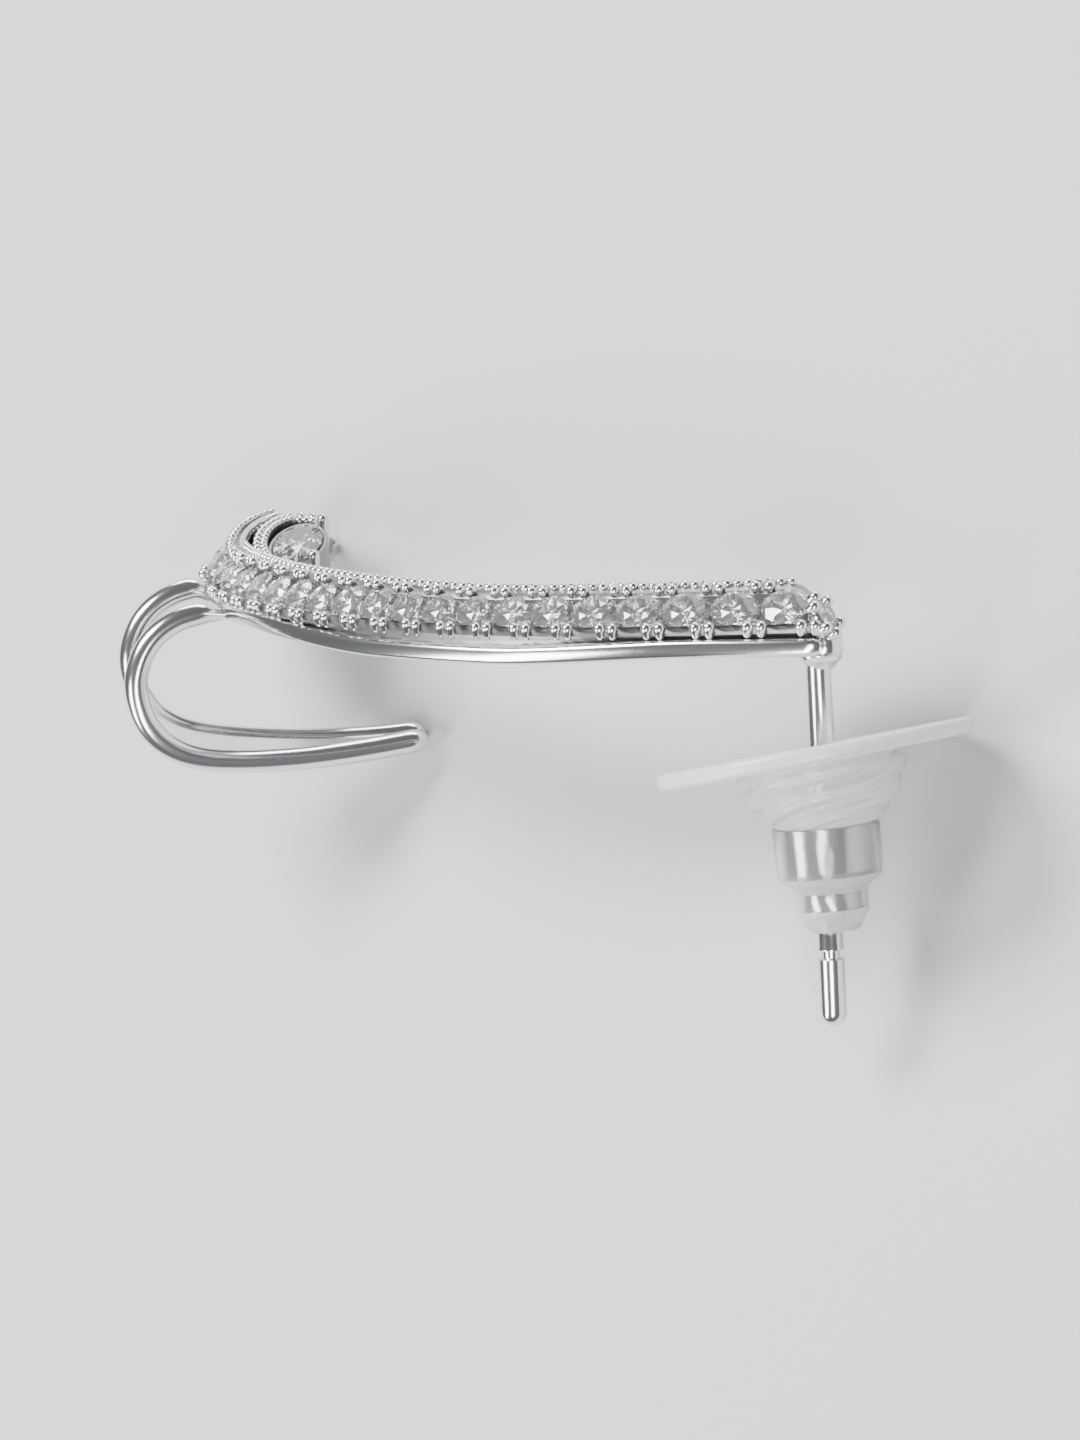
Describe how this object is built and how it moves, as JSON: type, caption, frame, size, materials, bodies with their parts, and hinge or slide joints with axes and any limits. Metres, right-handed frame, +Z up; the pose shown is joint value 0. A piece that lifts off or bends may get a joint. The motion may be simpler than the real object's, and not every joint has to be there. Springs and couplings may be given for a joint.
{
  "type": "ear cuff",
  "caption": "Curved stone-set band with a two-strand rim hook at one end and a straight post with a clear soft ear back at the other, worn up the edge of one ear.",
  "frame": {"origin": "middle of the box round the part, on the floor it lies on", "axes": "+Y runs from the post's end of the band towards the hook's end, +Z is up from the floor, and the picture is seen from -Y, about 50 degrees above the floor"},
  "size_m": [0.0136, 0.0328, 0.01],
  "materials": {
    "polished_metal": "polished silver-coloured plating",
    "clear_stone": "cut and polished",
    "soft_clear": "milky clear silicone with creases",
    "clear_skin": "clear, glossy",
    "sleeve_metal": "drawn metal seen through the clear skin"
  },
  "bodies": {
    "climber": {"climber_frame": "polished_metal", "band_stone_01": "clear_stone", "band_stone_02": "clear_stone", "band_stone_03": "clear_stone", "band_stone_04": "clear_stone", "band_stone_05": "clear_stone", "band_stone_06": "clear_stone", "band_stone_07": "clear_stone", "band_stone_08": "clear_stone", "band_stone_09": "clear_stone", "band_stone_10": "clear_stone", "band_stone_11": "clear_stone", "band_stone_12": "clear_stone", "band_stone_13": "clear_stone", "band_stone_14": "clear_stone", "band_stone_15": "clear_stone", "band_stone_16": "clear_stone", "band_stone_17": "clear_stone", "band_stone_18": "clear_stone", "band_stone_19": "clear_stone", "band_stone_20": "clear_stone", "band_stone_21": "clear_stone", "band_stone_22": "clear_stone", "band_stone_23": "clear_stone", "end_stone": "clear_stone", "oval_stone": "clear_stone"},
    "ear_back": {"clutch_pad": "soft_clear", "clutch_jacket": "clear_skin", "clutch_sleeve": "sleeve_metal"}
  },
  "joints": [
    {"name": "ear_back_slide", "type": "slide", "parent": "climber", "child": "ear_back", "axis": [0.9601, 0.0781, 0.2685], "range_m": [-0.0085, 0.002]}
  ]
}
